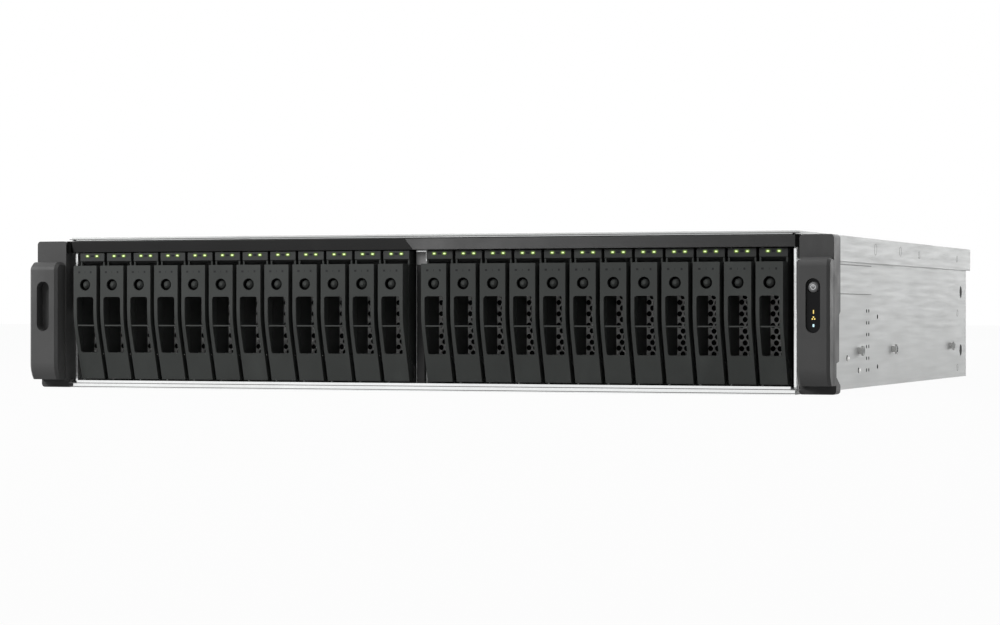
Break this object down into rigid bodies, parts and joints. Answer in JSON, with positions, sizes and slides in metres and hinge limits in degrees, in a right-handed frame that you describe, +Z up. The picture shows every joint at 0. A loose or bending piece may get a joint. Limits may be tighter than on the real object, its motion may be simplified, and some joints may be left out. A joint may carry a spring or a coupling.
{
  "type": "disk shelf enclosure",
  "caption": "Rack enclosure two units high with hot-swap drive trays, curved tray levers, handled rack ears, a sliding cover and rear power and link modules.",
  "frame": {"origin": "under the middle of the enclosure's outer box, on its underside", "axes": "+Z up, +X to the right seen from the front, -Y towards the front, where the trays come out"},
  "size_m": [0.482, 0.5102, 0.0886],
  "materials": {
    "zinc_steel": "satin galvanised sheet",
    "module_steel": "satin galvanised sheet",
    "ear_moulding": "fine matt moulding",
    "bezel_moulding": "fine matt moulding",
    "black_moulding": "matt moulding",
    "lever_moulding": "fine matt moulding",
    "carrier_moulding": "fine matt moulding",
    "circuit_board": "solder mask",
    "button_lens": "translucent glossy moulding"
  },
  "bodies": {
    "chassis": {"chassis_pan": "zinc_steel", "drive_cage": "zinc_steel", "centre_divider": "black_moulding", "front_bezel_bar": "bezel_moulding", "left_ear": "ear_moulding", "right_ear": "ear_moulding", "midplane_board": "circuit_board"},
    "cover": {"top_cover": "zinc_steel"},
    "power_button": {"power_button": "button_lens"},
    "left_power_module": {"left_power_module": "module_steel"},
    "right_power_module": {"right_power_module": "module_steel"},
    "io_module": {"io_module": "module_steel"},
    "carrier_01": {"drive_carrier_01": "carrier_moulding"},
    "lever_01": {"carrier_lever_01": "lever_moulding"},
    "carrier_02": {"drive_carrier_02": "carrier_moulding"},
    "lever_02": {"carrier_lever_02": "lever_moulding"},
    "carrier_03": {"drive_carrier_03": "carrier_moulding"},
    "lever_03": {"carrier_lever_03": "lever_moulding"},
    "carrier_04": {"drive_carrier_04": "carrier_moulding"},
    "lever_04": {"carrier_lever_04": "lever_moulding"},
    "carrier_05": {"drive_carrier_05": "carrier_moulding"},
    "lever_05": {"carrier_lever_05": "lever_moulding"},
    "carrier_06": {"drive_carrier_06": "carrier_moulding"},
    "lever_06": {"carrier_lever_06": "lever_moulding"},
    "carrier_07": {"drive_carrier_07": "carrier_moulding"},
    "lever_07": {"carrier_lever_07": "lever_moulding"},
    "carrier_08": {"drive_carrier_08": "carrier_moulding"},
    "lever_08": {"carrier_lever_08": "lever_moulding"},
    "carrier_09": {"drive_carrier_09": "carrier_moulding"},
    "lever_09": {"carrier_lever_09": "lever_moulding"},
    "carrier_10": {"drive_carrier_10": "carrier_moulding"},
    "lever_10": {"carrier_lever_10": "lever_moulding"},
    "carrier_11": {"drive_carrier_11": "carrier_moulding"},
    "lever_11": {"carrier_lever_11": "lever_moulding"},
    "carrier_12": {"drive_carrier_12": "carrier_moulding"},
    "lever_12": {"carrier_lever_12": "lever_moulding"},
    "carrier_13": {"drive_carrier_13": "carrier_moulding"},
    "lever_13": {"carrier_lever_13": "lever_moulding"},
    "carrier_14": {"drive_carrier_14": "carrier_moulding"},
    "lever_14": {"carrier_lever_14": "lever_moulding"},
    "carrier_15": {"drive_carrier_15": "carrier_moulding"},
    "lever_15": {"carrier_lever_15": "lever_moulding"},
    "carrier_16": {"drive_carrier_16": "carrier_moulding"},
    "lever_16": {"carrier_lever_16": "lever_moulding"},
    "carrier_17": {"drive_carrier_17": "carrier_moulding"},
    "lever_17": {"carrier_lever_17": "lever_moulding"},
    "carrier_18": {"drive_carrier_18": "carrier_moulding"},
    "lever_18": {"carrier_lever_18": "lever_moulding"},
    "carrier_19": {"drive_carrier_19": "carrier_moulding"},
    "lever_19": {"carrier_lever_19": "lever_moulding"},
    "carrier_20": {"drive_carrier_20": "carrier_moulding"},
    "lever_20": {"carrier_lever_20": "lever_moulding"},
    "carrier_21": {"drive_carrier_21": "carrier_moulding"},
    "lever_21": {"carrier_lever_21": "lever_moulding"},
    "carrier_22": {"drive_carrier_22": "carrier_moulding"},
    "lever_22": {"carrier_lever_22": "lever_moulding"},
    "carrier_23": {"drive_carrier_23": "carrier_moulding"},
    "lever_23": {"carrier_lever_23": "lever_moulding"},
    "carrier_24": {"drive_carrier_24": "carrier_moulding"},
    "lever_24": {"carrier_lever_24": "lever_moulding"}
  },
  "joints": [
    {"name": "cover_slide", "type": "slide", "parent": "chassis", "child": "cover", "axis": [0, 1, 0], "range_m": [0, 0.012]},
    {"name": "power_button_press", "type": "slide", "parent": "chassis", "child": "power_button", "axis": [0, 1, 0], "range_m": [0, 0.001], "stiffness_N_per_m": 400, "springref_m": -0.0005},
    {"name": "left_power_module_slide", "type": "slide", "parent": "chassis", "child": "left_power_module", "axis": [0, 1, 0], "range_m": [0, 0.2]},
    {"name": "right_power_module_slide", "type": "slide", "parent": "chassis", "child": "right_power_module", "axis": [0, 1, 0], "range_m": [0, 0.2]},
    {"name": "io_module_slide", "type": "slide", "parent": "chassis", "child": "io_module", "axis": [0, 1, 0], "range_m": [0, 0.2]},
    {"name": "carrier_01_slide", "type": "slide", "parent": "chassis", "child": "carrier_01", "axis": [0, -1, 0], "range_m": [0, 0.15]},
    {"name": "lever_01_hinge", "type": "hinge", "parent": "carrier_01", "child": "lever_01", "pos_m": [-0.2067, -0.23635, 0.0095], "axis": [1, 0, 0], "range_deg": [0, 55]},
    {"name": "carrier_02_slide", "type": "slide", "parent": "chassis", "child": "carrier_02", "axis": [0, -1, 0], "range_m": [0, 0.15]},
    {"name": "lever_02_hinge", "type": "hinge", "parent": "carrier_02", "child": "lever_02", "pos_m": [-0.1891, -0.23635, 0.0095], "axis": [1, 0, 0], "range_deg": [0, 55]},
    {"name": "carrier_03_slide", "type": "slide", "parent": "chassis", "child": "carrier_03", "axis": [0, -1, 0], "range_m": [0, 0.15]},
    {"name": "lever_03_hinge", "type": "hinge", "parent": "carrier_03", "child": "lever_03", "pos_m": [-0.1715, -0.23635, 0.0095], "axis": [1, 0, 0], "range_deg": [0, 55]},
    {"name": "carrier_04_slide", "type": "slide", "parent": "chassis", "child": "carrier_04", "axis": [0, -1, 0], "range_m": [0, 0.15]},
    {"name": "lever_04_hinge", "type": "hinge", "parent": "carrier_04", "child": "lever_04", "pos_m": [-0.1539, -0.23635, 0.0095], "axis": [1, 0, 0], "range_deg": [0, 55]},
    {"name": "carrier_05_slide", "type": "slide", "parent": "chassis", "child": "carrier_05", "axis": [0, -1, 0], "range_m": [0, 0.15]},
    {"name": "lever_05_hinge", "type": "hinge", "parent": "carrier_05", "child": "lever_05", "pos_m": [-0.1363, -0.23635, 0.0095], "axis": [1, 0, 0], "range_deg": [0, 55]},
    {"name": "carrier_06_slide", "type": "slide", "parent": "chassis", "child": "carrier_06", "axis": [0, -1, 0], "range_m": [0, 0.15]},
    {"name": "lever_06_hinge", "type": "hinge", "parent": "carrier_06", "child": "lever_06", "pos_m": [-0.1187, -0.23635, 0.0095], "axis": [1, 0, 0], "range_deg": [0, 55]},
    {"name": "carrier_07_slide", "type": "slide", "parent": "chassis", "child": "carrier_07", "axis": [0, -1, 0], "range_m": [0, 0.15]},
    {"name": "lever_07_hinge", "type": "hinge", "parent": "carrier_07", "child": "lever_07", "pos_m": [-0.1011, -0.23635, 0.0095], "axis": [1, 0, 0], "range_deg": [0, 55]},
    {"name": "carrier_08_slide", "type": "slide", "parent": "chassis", "child": "carrier_08", "axis": [0, -1, 0], "range_m": [0, 0.15]},
    {"name": "lever_08_hinge", "type": "hinge", "parent": "carrier_08", "child": "lever_08", "pos_m": [-0.0835, -0.23635, 0.0095], "axis": [1, 0, 0], "range_deg": [0, 55]},
    {"name": "carrier_09_slide", "type": "slide", "parent": "chassis", "child": "carrier_09", "axis": [0, -1, 0], "range_m": [0, 0.15]},
    {"name": "lever_09_hinge", "type": "hinge", "parent": "carrier_09", "child": "lever_09", "pos_m": [-0.0659, -0.23635, 0.0095], "axis": [1, 0, 0], "range_deg": [0, 55]},
    {"name": "carrier_10_slide", "type": "slide", "parent": "chassis", "child": "carrier_10", "axis": [0, -1, 0], "range_m": [0, 0.15]},
    {"name": "lever_10_hinge", "type": "hinge", "parent": "carrier_10", "child": "lever_10", "pos_m": [-0.0483, -0.23635, 0.0095], "axis": [1, 0, 0], "range_deg": [0, 55]},
    {"name": "carrier_11_slide", "type": "slide", "parent": "chassis", "child": "carrier_11", "axis": [0, -1, 0], "range_m": [0, 0.15]},
    {"name": "lever_11_hinge", "type": "hinge", "parent": "carrier_11", "child": "lever_11", "pos_m": [-0.0307, -0.23635, 0.0095], "axis": [1, 0, 0], "range_deg": [0, 55]},
    {"name": "carrier_12_slide", "type": "slide", "parent": "chassis", "child": "carrier_12", "axis": [0, -1, 0], "range_m": [0, 0.15]},
    {"name": "lever_12_hinge", "type": "hinge", "parent": "carrier_12", "child": "lever_12", "pos_m": [-0.0131, -0.23635, 0.0095], "axis": [1, 0, 0], "range_deg": [0, 55]},
    {"name": "carrier_13_slide", "type": "slide", "parent": "chassis", "child": "carrier_13", "axis": [0, -1, 0], "range_m": [0, 0.15]},
    {"name": "lever_13_hinge", "type": "hinge", "parent": "carrier_13", "child": "lever_13", "pos_m": [0.0131, -0.23635, 0.0095], "axis": [1, 0, 0], "range_deg": [0, 55]},
    {"name": "carrier_14_slide", "type": "slide", "parent": "chassis", "child": "carrier_14", "axis": [0, -1, 0], "range_m": [0, 0.15]},
    {"name": "lever_14_hinge", "type": "hinge", "parent": "carrier_14", "child": "lever_14", "pos_m": [0.0307, -0.23635, 0.0095], "axis": [1, 0, 0], "range_deg": [0, 55]},
    {"name": "carrier_15_slide", "type": "slide", "parent": "chassis", "child": "carrier_15", "axis": [0, -1, 0], "range_m": [0, 0.15]},
    {"name": "lever_15_hinge", "type": "hinge", "parent": "carrier_15", "child": "lever_15", "pos_m": [0.0483, -0.23635, 0.0095], "axis": [1, 0, 0], "range_deg": [0, 55]},
    {"name": "carrier_16_slide", "type": "slide", "parent": "chassis", "child": "carrier_16", "axis": [0, -1, 0], "range_m": [0, 0.15]},
    {"name": "lever_16_hinge", "type": "hinge", "parent": "carrier_16", "child": "lever_16", "pos_m": [0.0659, -0.23635, 0.0095], "axis": [1, 0, 0], "range_deg": [0, 55]},
    {"name": "carrier_17_slide", "type": "slide", "parent": "chassis", "child": "carrier_17", "axis": [0, -1, 0], "range_m": [0, 0.15]},
    {"name": "lever_17_hinge", "type": "hinge", "parent": "carrier_17", "child": "lever_17", "pos_m": [0.0835, -0.23635, 0.0095], "axis": [1, 0, 0], "range_deg": [0, 55]},
    {"name": "carrier_18_slide", "type": "slide", "parent": "chassis", "child": "carrier_18", "axis": [0, -1, 0], "range_m": [0, 0.15]},
    {"name": "lever_18_hinge", "type": "hinge", "parent": "carrier_18", "child": "lever_18", "pos_m": [0.1011, -0.23635, 0.0095], "axis": [1, 0, 0], "range_deg": [0, 55]},
    {"name": "carrier_19_slide", "type": "slide", "parent": "chassis", "child": "carrier_19", "axis": [0, -1, 0], "range_m": [0, 0.15]},
    {"name": "lever_19_hinge", "type": "hinge", "parent": "carrier_19", "child": "lever_19", "pos_m": [0.1187, -0.23635, 0.0095], "axis": [1, 0, 0], "range_deg": [0, 55]},
    {"name": "carrier_20_slide", "type": "slide", "parent": "chassis", "child": "carrier_20", "axis": [0, -1, 0], "range_m": [0, 0.15]},
    {"name": "lever_20_hinge", "type": "hinge", "parent": "carrier_20", "child": "lever_20", "pos_m": [0.1363, -0.23635, 0.0095], "axis": [1, 0, 0], "range_deg": [0, 55]},
    {"name": "carrier_21_slide", "type": "slide", "parent": "chassis", "child": "carrier_21", "axis": [0, -1, 0], "range_m": [0, 0.15]},
    {"name": "lever_21_hinge", "type": "hinge", "parent": "carrier_21", "child": "lever_21", "pos_m": [0.1539, -0.23635, 0.0095], "axis": [1, 0, 0], "range_deg": [0, 55]},
    {"name": "carrier_22_slide", "type": "slide", "parent": "chassis", "child": "carrier_22", "axis": [0, -1, 0], "range_m": [0, 0.15]},
    {"name": "lever_22_hinge", "type": "hinge", "parent": "carrier_22", "child": "lever_22", "pos_m": [0.1715, -0.23635, 0.0095], "axis": [1, 0, 0], "range_deg": [0, 55]},
    {"name": "carrier_23_slide", "type": "slide", "parent": "chassis", "child": "carrier_23", "axis": [0, -1, 0], "range_m": [0, 0.15]},
    {"name": "lever_23_hinge", "type": "hinge", "parent": "carrier_23", "child": "lever_23", "pos_m": [0.1891, -0.23635, 0.0095], "axis": [1, 0, 0], "range_deg": [0, 55]},
    {"name": "carrier_24_slide", "type": "slide", "parent": "chassis", "child": "carrier_24", "axis": [0, -1, 0], "range_m": [0, 0.15]},
    {"name": "lever_24_hinge", "type": "hinge", "parent": "carrier_24", "child": "lever_24", "pos_m": [0.2067, -0.23635, 0.0095], "axis": [1, 0, 0], "range_deg": [0, 55]}
  ]
}
